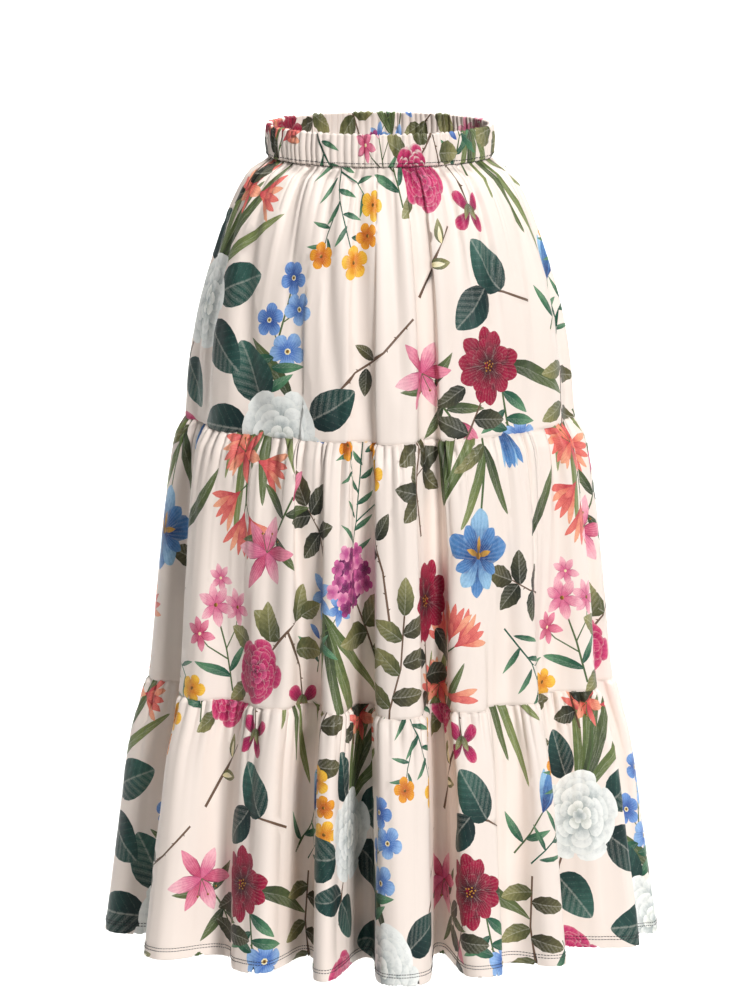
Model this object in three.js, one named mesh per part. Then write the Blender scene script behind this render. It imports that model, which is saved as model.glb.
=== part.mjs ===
import * as THREE from 'three';

// A pull-on maxi skirt of three gathered tiers, filled out as if it were worn, in millimetres.
// The origin is the middle of the waistband, +Z is up, the front faces -Y and +X is the viewer's right.

// Cloth and seams
const tierWall = 1.6;
const casingWall = 3;
const seamGap = 0.3;

// Heights, as drops below the middle of the waistband
const waistTop = -16;
const waistDrop = 19;
const seamOneDrop = 308;
const seamTwoDrop = 602;
const hemDrop = 891;

// Gathers, counted over one front or back panel
const gathersAPanel = 24;
const pointsAGather = 4;
const casingGather = 1.3;
const seamGather = 1.1;
const openGather = 3;
const gatherOpensOver = 26;
const gatherFadesOver = 120;

// The body that the cloth hangs round, one row for each level
const levels = [
  { drop: -16, halfWidth: 119.5, halfDepth: 92.5 },
  { drop: 0, halfWidth: 121, halfDepth: 94 },
  { drop: 19, halfWidth: 119.5, halfDepth: 93 },
  { drop: 34, halfWidth: 138.5, halfDepth: 107 },
  { drop: 60, halfWidth: 155.5, halfDepth: 120 },
  { drop: 110, halfWidth: 176, halfDepth: 136 },
  { drop: 190, halfWidth: 200, halfDepth: 153 },
  { drop: 250, halfWidth: 210.5, halfDepth: 161 },
  { drop: 308, halfWidth: 216.5, halfDepth: 166 },
  { drop: 328, halfWidth: 226, halfDepth: 174 },
  { drop: 380, halfWidth: 236.5, halfDepth: 181 },
  { drop: 486, halfWidth: 249, halfDepth: 188 },
  { drop: 602, halfWidth: 261.5, halfDepth: 195 },
  { drop: 622, halfWidth: 267, halfDepth: 200 },
  { drop: 670, halfWidth: 281, halfDepth: 208 },
  { drop: 775, halfWidth: 297, halfDepth: 215 },
  { drop: 891, halfWidth: 314, halfDepth: 222 },
];

// The folds, one row for each lobe and the valley after it, counted from the right side round the front.
// A lobe runs between two angles on the body and is set in by a share of the body's radius.
// Its valley is cut in by another share at each seam and at the hem, and leans by an angle at the hem.
const folds = [
  { from: -14, to: 3, set: 0, seamOne: 0.06, seamTwo: 0.12, hem: 0.09, lean: 0 },
  { from: 14, to: 20, set: 0.05, seamOne: 0.09, seamTwo: 0.24, hem: 0.38, lean: 0 },
  { from: 41, to: 47, set: 0.11, seamOne: 0.1, seamTwo: 0.18, hem: 0.28, lean: 0 },
  { from: 61, to: 71, set: 0.09, seamOne: 0.2, seamTwo: 0.37, hem: 0.55, lean: -12 },
  { from: 79.5, to: 91, set: 0.01, seamOne: 0.13, seamTwo: 0.4, hem: 0.53, lean: 0 },
  { from: 100, to: 105, set: 0.08, seamOne: 0.09, seamTwo: 0.34, hem: 0.48, lean: 8 },
  { from: 116.5, to: 126, set: 0.12, seamOne: 0.1, seamTwo: 0.2, hem: 0.3, lean: 6 },
  { from: 144, to: 155, set: 0.05, seamOne: 0.08, seamTwo: 0.22, hem: 0.36, lean: 4 },
  { from: 176, to: 194, set: 0, seamOne: 0.1, seamTwo: 0.2, hem: 0.32, lean: 0 },
  { from: 204, to: 211, set: 0.04, seamOne: 0.09, seamTwo: 0.24, hem: 0.4, lean: 3 },
  { from: 222, to: 233, set: 0.02, seamOne: 0.12, seamTwo: 0.2, hem: 0.3, lean: 0 },
  { from: 246, to: 253, set: 0.08, seamOne: 0.1, seamTwo: 0.33, hem: 0.48, lean: -4 },
  { from: 264, to: 276, set: 0.01, seamOne: 0.13, seamTwo: 0.28, hem: 0.42, lean: 3 },
  { from: 289, to: 296, set: 0.06, seamOne: 0.08, seamTwo: 0.2, hem: 0.33, lean: 0 },
  { from: 309, to: 319, set: 0.03, seamOne: 0.1, seamTwo: 0.26, hem: 0.4, lean: -3 },
  { from: 330, to: 336, set: 0.06, seamOne: 0.05, seamTwo: 0.12, hem: 0.2, lean: 0 },
];
const valleySpread = 7.5;
const leanAtSeamOne = 0.25;
const leanAtSeamTwo = 0.55;

// Where the side seams lie, as fold numbers: both are at the middle of a side lobe
const rightSide = 0;
const leftSide = 8;

// Finishes, taken from the cream ground of the printed cloth
const clothColour = 0xf4e6dc;
const clothRoughness = 0.62;

const degrees = Math.PI / 180;
const mix = (low, high, share) => low + (high - low) * share;
const within = (value, low, high) => Math.min(Math.max(value, low), high);

// The body's half width and half depth at any drop, on a straight line between the rows
function bodyAt(drop) {
  const last = levels.length - 2;
  const found = levels.findIndex((row) => row.drop > drop) - 1;
  const index = found < 0 ? last : within(found, 0, last);
  const [above, below] = [levels[index], levels[index + 1]];
  const share = within((drop - above.drop) / (below.drop - above.drop), 0, 1);
  return {
    halfWidth: mix(above.halfWidth, below.halfWidth, share),
    halfDepth: mix(above.halfDepth, below.halfDepth, share),
  };
}

// How far a fold's valley, lobe and lean have grown at any drop
function foldAt(row, drop) {
  const stops = [
    { drop: waistDrop, valley: 0, set: 0, lean: 0 },
    { drop: seamOneDrop, valley: row.seamOne, set: row.set, lean: leanAtSeamOne },
    { drop: seamTwoDrop, valley: row.seamTwo, set: row.set, lean: leanAtSeamTwo },
    { drop: hemDrop, valley: row.hem, set: row.set, lean: 1 },
  ];
  const index = drop < seamOneDrop ? 0 : drop < seamTwoDrop ? 1 : 2;
  const [above, below] = [stops[index], stops[index + 1]];
  const share = within((drop - above.drop) / (below.drop - above.drop), 0, 1);
  return {
    valley: mix(above.valley, below.valley, share),
    set: mix(above.set, below.set, share),
    lean: mix(above.lean, below.lean, share) * row.lean,
  };
}

function onBody(body, angle, inset) {
  return new THREE.Vector2(
    body.halfWidth * Math.cos(angle * degrees) * (1 - inset),
    -body.halfDepth * Math.sin(angle * degrees) * (1 - inset),
  );
}

// Steps in which a section's length is added up
const fineSteps = 1200;

// Each fold is steered by six points: the lobe's two shoulders, the far flank's middle,
// the valley's two sides and the near flank's middle of the next lobe.
const steersAFold = 6;

function steeringPoints(drop) {
  const body = bodyAt(drop);
  const points = [];
  folds.forEach((row, index) => {
    const next = folds[(index + 1) % folds.length];
    const nextFrom = next.from + (index + 1 === folds.length ? 360 : 0);
    const here = foldAt(row, drop);
    const ahead = foldAt(next, drop);
    const middle = (row.to + nextFrom) / 2 + here.lean;
    const lobeStart = onBody(body, row.from, here.set);
    const lobeEnd = onBody(body, row.to, here.set);
    const valleyStart = onBody(body, middle - valleySpread / 2, here.valley);
    const valleyEnd = onBody(body, middle + valleySpread / 2, here.valley);
    const nextStart = onBody(body, nextFrom, ahead.set);
    points.push(lobeStart, lobeEnd, lobeEnd.clone().lerp(valleyStart, 0.5));
    points.push(valleyStart, valleyEnd, valleyEnd.clone().lerp(nextStart, 0.5));
  });
  return points;
}

// A smooth closed curve that the steering points pull, read at a place counted in steering points
function sectionPoint(points, place) {
  const count = points.length;
  const start = Math.floor(place);
  const t = place - start;
  const weights = [
    (1 - t) ** 3 / 6,
    (3 * t ** 3 - 6 * t ** 2 + 4) / 6,
    (-3 * t ** 3 + 3 * t ** 2 + 3 * t + 1) / 6,
    t ** 3 / 6,
  ];
  const result = new THREE.Vector2();
  weights.forEach((weight, step) => {
    result.addScaledVector(points[(start - 1 + step + 2 * count) % count], weight);
  });
  return result;
}

// Running lengths along a section, read at many even steps of place
function runningLengths(drop, firstPlace, lastPlace) {
  const points = steeringPoints(drop);
  const lengths = [0];
  let before = sectionPoint(points, firstPlace);
  for (let step = 1; step <= fineSteps; step += 1) {
    const after = sectionPoint(points, mix(firstPlace, lastPlace, step / fineSteps));
    lengths.push(lengths[step - 1] + after.distanceTo(before));
    before = after;
  }
  return lengths;
}

// Places an even width of cloth apart, where a panel's cloth spreads halfway
// between what its top edge and its bottom edge would each ask for
function evenPlaces(topDrop, bottomDrop, firstPlace, lastPlace, count) {
  const above = runningLengths(topDrop, firstPlace, lastPlace);
  const below = runningLengths(bottomDrop, firstPlace, lastPlace);
  const shares = above.map((length, step) => (
    (length / above[fineSteps] + below[step] / below[fineSteps]) / 2
  ));
  const places = [];
  let step = 0;
  for (let index = 0; index < count; index += 1) {
    const wanted = index / (count - 1);
    while (step < fineSteps - 1 && shares[step + 1] < wanted) {
      step += 1;
    }
    const share = (wanted - shares[step]) / (shares[step + 1] - shares[step]);
    places.push(mix(firstPlace, lastPlace, (step + share) / fineSteps));
  }
  return places;
}

// Gathers: tight at the seam that holds them, opening just below it and fading further down
function gatherDepth(fromSeam) {
  const opened = within(fromSeam / gatherOpensOver, 0, 1);
  const faded = within((fromSeam - gatherOpensOver) / gatherFadesOver, 0, 1);
  return mix(seamGather, openGather, opened) * (1 - faded);
}

// Each gather swells by its own amount, so that no two neighbours match
function gatherWave(column) {
  const number = Math.floor(column / pointsAGather);
  const swell = 0.8 + 0.3 * Math.sin(2.4 * number) + 0.15 * Math.sin(1.1 * number);
  return swell * Math.sin((2 * Math.PI * column) / pointsAGather);
}

// One row of points at a drop, with the way out from the cloth at each of them.
// An open row is trimmed at both ends, to leave a gap at the side seams.
function ring(drop, places, depth, endTrim) {
  const points = steeringPoints(drop);
  const reach = 0.05;
  const last = places.length - 1;
  return places.map((place, column) => {
    const along = sectionPoint(points, place + reach).sub(sectionPoint(points, place - reach));
    along.normalize();
    const out = new THREE.Vector2(-along.y, along.x);
    const middle = sectionPoint(points, place).addScaledVector(out, depth * gatherWave(column));
    const trim = column === 0 ? endTrim : column === last ? -endTrim : 0;
    middle.addScaledVector(along, trim);
    return { middle, out, z: -drop };
  });
}

// A closed wall of even thickness through rows of points. A closed wall's rings join up with themselves.
function wallSolid(rows, thickness, closedRing) {
  const columns = rows[0].length;
  const side = rows.length * columns;
  const positions = [];
  for (const direction of [0.5, -0.5]) {
    for (const row of rows) {
      for (const point of row) {
        const moved = point.middle.clone().addScaledVector(point.out, direction * thickness);
        positions.push(moved.x, moved.y, point.z);
      }
    }
  }
  const faces = [];
  const quad = (a, b, c, d) => faces.push(a, b, c, a, c, d);
  const outer = (row, column) => row * columns + (column % columns);
  const inner = (row, column) => side + outer(row, column);
  const lastRow = rows.length - 1;
  const spans = closedRing ? columns : columns - 1;
  for (let column = 0; column < spans; column += 1) {
    const next = column + 1;
    for (let row = 0; row < lastRow; row += 1) {
      quad(outer(row, column), outer(row, next), outer(row + 1, next), outer(row + 1, column));
      quad(inner(row, next), inner(row, column), inner(row + 1, column), inner(row + 1, next));
    }
    quad(inner(0, column), inner(0, next), outer(0, next), outer(0, column));
    quad(outer(lastRow, column), outer(lastRow, next), inner(lastRow, next), inner(lastRow, column));
  }
  if (!closedRing) {
    const end = columns - 1;
    for (let row = 0; row < lastRow; row += 1) {
      quad(outer(row, 0), outer(row + 1, 0), inner(row + 1, 0), inner(row, 0));
      quad(inner(row, end), inner(row + 1, end), outer(row + 1, end), outer(row, end));
    }
  }
  const geometry = new THREE.BufferGeometry();
  geometry.setAttribute('position', new THREE.Float32BufferAttribute(positions, 3));
  geometry.setIndex(faces);
  geometry.computeVertexNormals();
  return geometry;
}

function clothMesh(name, geometry) {
  const material = new THREE.MeshStandardMaterial({
    color: clothColour,
    roughness: clothRoughness,
    metalness: 0,
  });
  const mesh = new THREE.Mesh(geometry, material);
  mesh.name = name;
  return mesh;
}

const lobeMiddle = 0.5;
const placeOf = (foldNumber) => foldNumber * steersAFold + lobeMiddle;
const wholeTurn = folds.length * steersAFold;

// The waistband: one strip of casing with its elastic inside, shirred all round
function waistband() {
  const columns = 2 * gathersAPanel * pointsAGather;
  const start = placeOf(rightSide);
  const places = evenPlaces(0, 0, start, start + wholeTurn, columns + 1).slice(0, columns);
  const drops = [waistTop, 0, waistDrop - seamGap / 2];
  return wallSolid(drops.map((drop) => ring(drop, places, casingGather, 0)), casingWall, true);
}

// One front or back panel of a tier, gathered along its top edge
function tierPanel(topDrop, bottomDrop, firstPlace, lastPlace) {
  const columns = gathersAPanel * pointsAGather + 1;
  const places = evenPlaces(topDrop, bottomDrop, firstPlace, lastPlace, columns);
  const top = topDrop + seamGap / 2;
  const bottom = bottomDrop - (bottomDrop === hemDrop ? 0 : seamGap / 2);
  const between = levels.map((row) => row.drop).filter((drop) => drop > top + 1 && drop < bottom - 1);
  const drops = [top, ...between, bottom];
  const rows = drops.map((drop) => ring(drop, places, gatherDepth(drop - topDrop), seamGap / 2));
  return wallSolid(rows, tierWall, false);
}

const tiers = [
  { name: 'tier1', top: waistDrop, bottom: seamOneDrop },
  { name: 'tier2', top: seamOneDrop, bottom: seamTwoDrop },
  { name: 'tier3', top: seamTwoDrop, bottom: hemDrop },
];
const halves = [
  { name: 'front', from: placeOf(rightSide), to: placeOf(leftSide) },
  { name: 'back', from: placeOf(leftSide), to: placeOf(rightSide) + wholeTurn },
];

const skirt = new THREE.Group();
skirt.add(clothMesh('waistband', waistband()));
for (const tier of tiers) {
  for (const half of halves) {
    const geometry = tierPanel(tier.top, tier.bottom, half.from, half.to);
    skirt.add(clothMesh(`${tier.name}_${half.name}`, geometry));
  }
}

export default skirt;
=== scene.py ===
import math
import random

import bpy
import numpy as np
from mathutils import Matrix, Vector
from mathutils.geometry import delaunay_2d_cdt


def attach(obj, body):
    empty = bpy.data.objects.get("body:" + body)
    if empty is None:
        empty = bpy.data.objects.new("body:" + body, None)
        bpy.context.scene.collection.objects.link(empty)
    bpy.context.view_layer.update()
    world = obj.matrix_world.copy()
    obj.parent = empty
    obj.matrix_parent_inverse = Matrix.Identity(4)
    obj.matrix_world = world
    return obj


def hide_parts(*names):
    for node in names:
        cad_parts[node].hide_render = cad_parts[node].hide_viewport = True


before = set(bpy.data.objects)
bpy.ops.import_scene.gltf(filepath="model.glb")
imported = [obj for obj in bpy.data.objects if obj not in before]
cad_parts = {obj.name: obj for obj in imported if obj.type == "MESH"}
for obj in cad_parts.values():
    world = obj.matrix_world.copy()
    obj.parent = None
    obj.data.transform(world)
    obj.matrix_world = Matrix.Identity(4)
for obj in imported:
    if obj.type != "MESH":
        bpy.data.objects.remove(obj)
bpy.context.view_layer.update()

# The skirt is worked out in millimetres, from the middle of its waistband, and set down in metres.
# It faces -Y. Drops are measured downwards. Flat cloth runs to the right as seen from outside.
MM = 0.001

# Drops of the seams and the hem
WAIST = 19.0
SEAM_ONE = 308.0
SEAM_TWO = 602.0
HEM = 891.0

# Cloth
CLOTH = 0.5
SEAM_GAP = 0.3
ALLOWANCE = 8.0
ALLOWANCE_INSET = 2.4
ALLOWANCE_STEPS_IN = 1.5
HEM_TURN = 12.0
HEM_STEPS_IN = 1.0
SEAM_PINCH = 1.8
WAIST_PINCH = 0.3
SEAM_PINCH_REACH = 2.2
NORMAL_STEP = 0.3

# The body that the cloth hangs round: drop, half width, half depth
LEVELS = np.array((
    (-16, 119.5, 92.5),
    (0, 121, 94),
    (19, 119.5, 93),
    (34, 138.5, 107),
    (60, 155.5, 120),
    (110, 176, 136),
    (190, 200, 153),
    (250, 210.5, 161),
    (308, 216.5, 166),
    (328, 226, 174),
    (380, 236.5, 181),
    (486, 249, 188),
    (602, 261.5, 195),
    (622, 267, 200),
    (670, 281, 208),
    (775, 297, 215),
    (891, 314, 222),
), dtype=float)

# The folds, one row for each lobe and the valley after it, from the right side round the front:
# lobe from, lobe to, set in, valley at seam one, at seam two, at the hem, lean of the valley
FOLDS = (
    (-14, 3, 0.00, 0.06, 0.12, 0.09, 0),
    (14, 20, 0.05, 0.09, 0.24, 0.38, 0),
    (41, 47, 0.11, 0.10, 0.18, 0.28, 0),
    (61, 71, 0.09, 0.20, 0.37, 0.55, -12),
    (79.5, 91, 0.01, 0.13, 0.40, 0.53, 0),
    (100, 105, 0.08, 0.09, 0.34, 0.48, 8),
    (116.5, 126, 0.12, 0.10, 0.20, 0.30, 6),
    (144, 155, 0.05, 0.08, 0.22, 0.36, 4),
    (176, 194, 0.00, 0.10, 0.20, 0.32, 0),
    (204, 211, 0.04, 0.09, 0.24, 0.40, 3),
    (222, 233, 0.02, 0.12, 0.20, 0.30, 0),
    (246, 253, 0.08, 0.10, 0.33, 0.48, -4),
    (264, 276, 0.01, 0.13, 0.28, 0.42, 3),
    (289, 296, 0.06, 0.08, 0.20, 0.33, 0),
    (309, 319, 0.03, 0.10, 0.26, 0.40, -3),
    (330, 336, 0.06, 0.05, 0.12, 0.20, 0),
)
VALLEY_SPREAD = 7.5
GROWTH_DROPS = np.array((WAIST, SEAM_ONE, SEAM_TWO, HEM))
LEAN_GROWTH = np.array((0.0, 0.25, 0.55, 1.0))
LOBE_MIDDLE = 0.5
LEFT_SIDE_FOLD = 8

# Camera of the photograph
CAMERA_BACK = 5.7
CAMERA_UP = 0.78
CAMERA_PITCH = math.radians(11.70)
CAMERA_LENS = 190.8
CAMERA_SIDE = -0.0055


def smooth_table(xs, ys):
    """Reads a table along a smooth curve that never overshoots its rows."""
    steps = np.diff(xs)
    rises = np.diff(ys) / steps
    slopes = np.zeros_like(ys)
    same_way = rises[:-1] * rises[1:] > 0
    slopes[1:-1][same_way] = (2 * rises[:-1] * rises[1:] / (rises[:-1] + rises[1:] + 1e-12))[same_way]
    slopes[0], slopes[-1] = rises[0], rises[-1]

    def read(x):
        at = np.clip(np.searchsorted(xs, x) - 1, 0, len(steps) - 1)
        t = np.clip((x - xs[at]) / steps[at], 0, 1)
        low, high = ys[at], ys[at + 1]
        bend_low, bend_high = slopes[at] * steps[at], slopes[at + 1] * steps[at]
        return (low * (2 * t**3 - 3 * t**2 + 1) + bend_low * (t**3 - 2 * t**2 + t)
                + high * (3 * t**2 - 2 * t**3) + bend_high * (t**3 - t**2))
    return read


half_width_at = smooth_table(LEVELS[:, 0], LEVELS[:, 1])
half_depth_at = smooth_table(LEVELS[:, 0], LEVELS[:, 2])


def fold_steers():
    """Six steering points a fold: two shoulders, a flank, two sides of the valley and a flank."""
    angles, leans, stops, flanks = [], [], [], []
    for number, row in enumerate(FOLDS):
        lobe_from, lobe_to, set_in, *valley, lean = row
        after = FOLDS[(number + 1) % len(FOLDS)][0] + (360 if number + 1 == len(FOLDS) else 0)
        middle = (lobe_to + after) / 2
        lobe_stops = (0, set_in, set_in, set_in)
        valley_stops = (0, *valley)
        for angle, swing, stop, is_flank in (
                (lobe_from, 0, lobe_stops, False),
                (lobe_to, 0, lobe_stops, False),
                (0, 0, lobe_stops, True),
                (middle - VALLEY_SPREAD / 2, lean, valley_stops, False),
                (middle + VALLEY_SPREAD / 2, lean, valley_stops, False),
                (0, 0, lobe_stops, True)):
            angles.append(math.radians(angle))
            leans.append(math.radians(swing))
            stops.append(stop)
            flanks.append(is_flank)
    return np.array(angles), np.array(leans), np.array(stops, dtype=float), np.array(flanks)


STEER_ANGLES, STEER_LEANS, STEER_STOPS, STEER_FLANKS = fold_steers()
STEERS = len(STEER_ANGLES)
STEERS_A_FOLD = STEERS // len(FOLDS)


def unit(vectors):
    return vectors / np.linalg.norm(vectors, axis=1)[:, None]


def outwards(along):
    """The way out of the cloth, level, from the way along it."""
    return np.stack((-along[:, 1], along[:, 0]), axis=1)


def section(place, drop):
    """Where the cloth's middle lies at a place round the skirt and a drop, and the way along it."""
    width, depth = half_width_at(drop), half_depth_at(drop)
    growth = np.stack([np.interp(drop, GROWTH_DROPS, np.eye(4)[k]) for k in range(4)], axis=1)
    lean_share = np.interp(drop, GROWTH_DROPS, LEAN_GROWTH)

    def plain(index):
        index = index % STEERS
        angle = STEER_ANGLES[index] + STEER_LEANS[index] * lean_share
        reach = 1 - (STEER_STOPS[index] * growth).sum(axis=1)
        return np.stack((width * np.cos(angle) * reach, -depth * np.sin(angle) * reach), axis=1)

    start = np.floor(place).astype(int)
    t = place - start
    weights = ((1 - t)**3 / 6, (3 * t**3 - 6 * t**2 + 4) / 6,
               (-3 * t**3 + 3 * t**2 + 3 * t + 1) / 6, t**3 / 6)
    slopes = (-(1 - t)**2 / 2, (9 * t**2 - 12 * t) / 6, (-9 * t**2 + 6 * t + 3) / 6, t**2 / 2)
    around = [plain(start + step) for step in range(-2, 4)]
    middle = np.zeros((len(place), 2))
    along = np.zeros((len(place), 2))
    for step in range(4):
        flank = STEER_FLANKS[(start - 1 + step) % STEERS][:, None]
        point = np.where(flank, (around[step] + around[step + 2]) / 2, around[step + 1])
        middle += point * weights[step][:, None]
        along += point * slopes[step][:, None]
    return middle, unit(along)


def running_shares(drop, first, last):
    """Places round the skirt with the length of cloth up to each."""
    places = np.linspace(first, last, 1601)
    middle, _ = section(places, np.full(len(places), float(drop)))
    lengths = np.concatenate(([0], np.cumsum(np.linalg.norm(np.diff(middle, axis=0), axis=1))))
    return places, lengths


# Gathers: flat cloth from one crest to the next, then height and length of the fine and the wide ones
FINE_PITCH = {"waist": 10.5, "tier1": 13.0, "tier2": 15.0, "tier3": 16.0}
SWELL_PITCH = {"waist": 60.0, "tier1": 52.0, "tier2": 60.0, "tier3": 66.0}
GATHER_HEIGHTS = (0.35, 1.25)
GATHER_SPACINGS = (0.68, 1.36)
SHORT_GATHERS = (0.5, 1.15)
LONG_GATHERS = (1.3, 2.9)
SHORT_SHARE = 0.72
GATHER_OPENS = 13.0
GATHER_AT_SEAM = 0.5
GATHER_LEFT = 0.06
CREST_WIDTH = 1.45
GATHERS = {
    "tier1": {"fine": 2.7, "fine_reach": 92.0, "swell": 3.4, "swell_reach": 240.0},
    "tier2": {"fine": 3.9, "fine_reach": 64.0, "swell": 3.8, "swell_reach": 190.0},
    "tier3": {"fine": 4.1, "fine_reach": 66.0, "swell": 4.2, "swell_reach": 210.0},
}
# How far gathers and creases may push the cloth out or in, less on the crests inside a fold's valley
WAY_SPREAD = 0.55
VALLEY_MIDDLE = 3.5
VALLEY_REACH = 0.8
VALLEY_LOSS = 0.85
CREST_LIMIT = 5.0
TROUGH_LIMIT = 8.5
SIDE_FLAT = 7.0
PANEL_END = 0.15

# Main creases of each panel: across at its top and at its foot on the shaded side, depth,
# half width, and where it starts and ends
CREASE_SHADED_SIDE = 0.8
CREASE_PAST_END = 12.0
CREASE_STARTS_OVER = 30.0
CREASE_ENDS_OVER = 60.0
RIDGE_HEIGHT = 0.42
RIDGE_AWAY = 2.0
CREASES = {
    "tier1_front": (
        (38, 46, 3.4, 11, 0, 289), (66, 90, 3.6, 12, 10, 289), (112, 174, 4.8, 12, 0, 289),
        (180, 240, 4.0, 13, 0, 289), (236, 278, 3.4, 9, 0, 289), (290, 302, 5.6, 11, 0, 289),
        (338, 352, 3.6, 9, 0, 250), (404, 384, 1.8, 10, 20, 289), (450, 428, 4.4, 12, 0, 289),
        (504, 470, 3.8, 11, 0, 220), (566, 540, 3.8, 12, 0, 289), (610, 602, 3.2, 11, 0, 240),
    ),
    "tier1_back": (
        (44, 52, 3.2, 12, 0, 289), (100, 118, 3.0, 12, 0, 289), (176, 204, 3.0, 11, 0, 240),
        (238, 260, 5.0, 12, 0, 289), (304, 300, 2.8, 10, 10, 289), (366, 352, 4.2, 12, 0, 289),
        (430, 408, 3.4, 11, 0, 260), (508, 500, 3.0, 12, 0, 289), (548, 540, 1.8, 11, 40, 289),
    ),
    "tier2_front": (
        (84, 70, 3.0, 12, 0, 210), (196, 208, 4.6, 14, 0, 240), (244, 250, 2.2, 10, 0, 130),
        (288, 304, 6.2, 14, 0, 294), (384, 388, 2.8, 11, 0, 200), (428, 424, 3.0, 11, 0, 294),
        (506, 500, 3.4, 11, 0, 294), (552, 556, 3.2, 10, 0, 220), (606, 616, 5.0, 16, 20, 294),
        (690, 700, 2.8, 11, 0, 170), (744, 738, 3.2, 12, 0, 230), (798, 786, 4.4, 14, 0, 294),
        (858, 860, 2.4, 11, 0, 150), (906, 898, 4.4, 13, 0, 294), (978, 984, 3.2, 13, 0, 250),
    ),
    "tier2_back": (
        (70, 78, 4.0, 13, 0, 260), (172, 160, 5.2, 14, 0, 294), (252, 262, 3.0, 12, 0, 190),
        (336, 328, 4.6, 13, 0, 294), (430, 440, 3.4, 12, 0, 240), (520, 510, 5.0, 14, 0, 294),
        (604, 612, 3.0, 12, 20, 294), (700, 690, 4.4, 13, 0, 270), (790, 798, 3.2, 12, 0, 180),
        (880, 868, 4.8, 14, 0, 294), (950, 956, 2.8, 12, 0, 220),
    ),
    "tier3_front": (
        (120, 130, 3.4, 15, 0, 289), (222, 230, 2.8, 13, 0, 160), (322, 334, 3.2, 14, 0, 220),
        (392, 412, 6.0, 17, 0, 289), (560, 556, 3.2, 13, 0, 210), (632, 640, 3.6, 13, 0, 289),
        (806, 800, 3.0, 12, 0, 180), (872, 880, 3.2, 13, 20, 289), (1060, 1052, 3.0, 13, 0, 170),
        (1112, 1118, 3.8, 15, 0, 289), (1198, 1196, 4.4, 15, 0, 289), (1266, 1280, 3.0, 13, 0, 200),
        (1420, 1412, 3.6, 14, 0, 289),
    ),
    "tier3_back": (
        (90, 100, 4.4, 15, 0, 289), (210, 200, 3.4, 14, 0, 200), (340, 352, 5.4, 16, 0, 289),
        (470, 460, 3.2, 14, 0, 240), (600, 610, 4.6, 15, 0, 289), (744, 736, 3.4, 14, 0, 180),
        (880, 890, 5.0, 16, 0, 289), (1020, 1010, 3.6, 14, 0, 289), (1160, 1172, 4.8, 15, 0, 260),
        (1300, 1290, 3.2, 14, 0, 220), (1440, 1450, 4.2, 15, 0, 289),
    ),
}


def gather_table(width, pitch, seed):
    """Crests and troughs in turn along the cloth: where, how far out, and how far down they run."""
    draw = random.Random(seed)
    where, height, length = [], [], []
    at, sign = -pitch, 1
    while at < width + pitch:
        where.append(at)
        height.append(sign * draw.uniform(*GATHER_HEIGHTS))
        length.append(draw.uniform(*(SHORT_GATHERS if draw.random() < SHORT_SHARE else LONG_GATHERS)))
        at += pitch / 2 * draw.uniform(*GATHER_SPACINGS)
        sign = -sign
    return np.array(where), np.array(height), np.array(length)


def gather_out(table, across, down, reach):
    """How far the gathers of one table push the cloth out."""
    where, height, length = table
    at = np.clip(np.searchsorted(where, across) - 1, 0, len(where) - 2)
    t = np.clip((across - where[at]) / (where[at + 1] - where[at]), 0, 1)
    t = np.where(height[at] > 0, t**CREST_WIDTH, 1 - (1 - t)**CREST_WIDTH)
    blend = t * t * (3 - 2 * t)

    def strength(index):
        share = np.clip(down / (reach * length[index]), 0, 1)
        opened = np.clip(down / GATHER_OPENS, 0, 1)
        start = GATHER_AT_SEAM + (1 - GATHER_AT_SEAM) * opened * (2 - opened)
        return height[index] * start * (GATHER_LEFT + (1 - GATHER_LEFT) * (1 - share)**1.6)
    return strength(at) * (1 - blend) + strength(at + 1) * blend


def smooth_rise(value, span):
    share = np.clip(value / span, 0, 1)
    return share * share * (3 - 2 * share)


def crease_out(creases, across, down, height):
    """Soft troughs with a low ridge on either side, as far as the cloth is moved out."""
    out = np.zeros(len(across))
    for at_top, at_foot, depth, half_width, start, end in creases:
        off = (across - at_top - (at_foot - at_top) * down / height) / half_width + CREASE_SHADED_SIDE
        near = smooth_rise(down - start + CREASE_PAST_END, CREASE_STARTS_OVER)
        near = near * smooth_rise(end + CREASE_PAST_END - down, CREASE_ENDS_OVER)
        ridges = RIDGE_HEIGHT * np.exp(-(np.abs(off) - RIDGE_AWAY)**2)
        out += depth * near * (ridges - np.exp(-off**2))
    return out


def with_normals(point_of, across, down, step_up):
    """Points of the cloth with its true normals, from close points of the same surface."""
    point, out_way = point_of(across, down)
    step = abs(step_up)
    to_right = point_of(across + step, down)[0] - point_of(across - step, down)[0]
    upwards = point_of(across, down + step_up)[0] - point_of(across, down - step_up)[0]
    normal = np.cross(to_right, upwards)
    size = np.linalg.norm(normal, axis=1)[:, None]
    return point, np.where(size > 1e-6, normal / np.maximum(size, 1e-6), out_way)


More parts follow.
